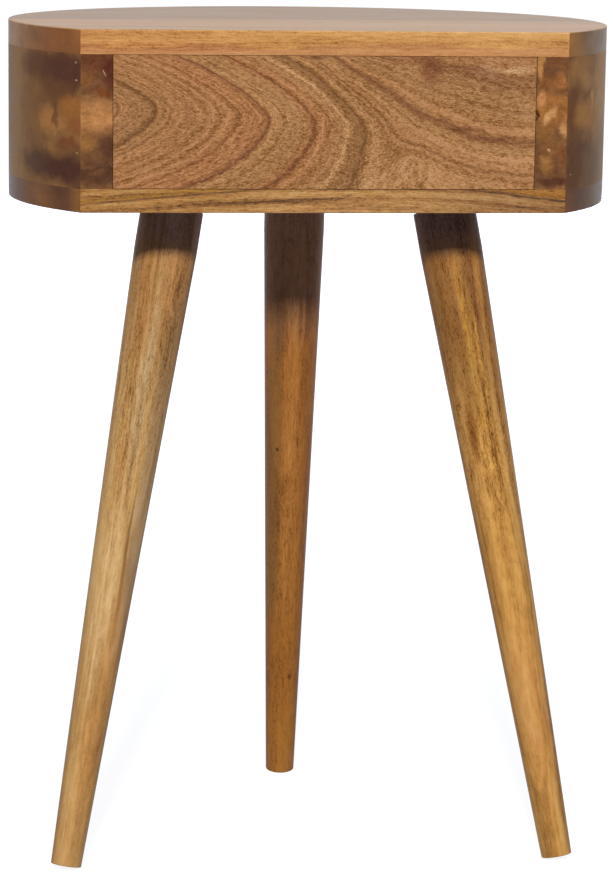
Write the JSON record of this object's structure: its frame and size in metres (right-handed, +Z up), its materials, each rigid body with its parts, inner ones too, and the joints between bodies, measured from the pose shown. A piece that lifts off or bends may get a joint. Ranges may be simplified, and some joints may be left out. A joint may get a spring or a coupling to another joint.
{
  "type": "nightstand",
  "caption": "Flat-fronted oval nightstand: a solid-wood case with an inset drawer pulled from a finger slot underneath, on splayed tapered legs.",
  "frame": {"origin": "on the floor, under the middle of the case's width and depth", "axes": "+X to the viewer's right along the flat front, +Y to the back, away from the drawer's opening direction, +Z up"},
  "size_m": [0.432, 0.313, 0.6],
  "materials": {
    "board_wood": "clear satin lacquer",
    "wall_wood": "clear satin lacquer",
    "front_wood": "clear satin lacquer",
    "leg_wood": "clear satin lacquer",
    "rail_wood": "sanded, unfinished",
    "dowel_wood": "sanded, unfinished",
    "plywood": "sanded, unfinished",
    "plate_steel": "matt black paint",
    "screw_steel": "zinc plated",
    "felt": "felt"
  },
  "bodies": {
    "case": {"top_board_stave_1": "board_wood", "top_board_stave_2": "board_wood", "top_board_stave_3": "board_wood", "top_board_stave_4": "board_wood", "top_board_stave_5": "board_wood", "bottom_board_stave_1": "board_wood", "bottom_board_stave_2": "board_wood", "bottom_board_stave_3": "board_wood", "bottom_board_stave_4": "board_wood", "bottom_board_stave_5": "board_wood", "back_wall": "wall_wood", "left_side_wall": "wall_wood", "right_side_wall": "wall_wood", "left_rear_wall": "wall_wood", "right_rear_wall": "wall_wood", "left_front_post": "wall_wood", "right_front_post": "wall_wood", "top_dowels": "dowel_wood", "bottom_dowels": "dowel_wood", "left_drawer_runner": "rail_wood", "right_drawer_runner": "rail_wood", "left_drawer_kicker": "rail_wood", "right_drawer_kicker": "rail_wood", "drawer_stop_rail": "rail_wood", "left_closing_stop": "rail_wood", "right_closing_stop": "rail_wood", "closing_stop_pads": "felt", "front_left_leg": "leg_wood", "front_right_leg": "leg_wood", "rear_leg": "leg_wood", "front_left_leg_plate": "plate_steel", "front_right_leg_plate": "plate_steel", "rear_leg_plate": "plate_steel", "runner_screws": "screw_steel", "kicker_and_stop_rail_screws": "screw_steel", "leg_hanger_bolts": "screw_steel", "leg_plate_screws": "screw_steel"},
    "drawer": {"drawer_front": "front_wood", "left_drawer_side": "rail_wood", "right_drawer_side": "rail_wood", "drawer_back": "rail_wood", "left_pull_out_stop": "rail_wood", "right_pull_out_stop": "rail_wood", "drawer_bottom_panel": "plywood", "drawer_front_dowels": "dowel_wood", "drawer_back_screws": "screw_steel", "drawer_bottom_screws": "screw_steel", "pull_out_stop_screws": "screw_steel"}
  },
  "joints": [
    {"name": "drawer_slide", "type": "slide", "parent": "case", "child": "drawer", "axis": [0, -1, 0], "range_m": [0, 0.1525]}
  ]
}
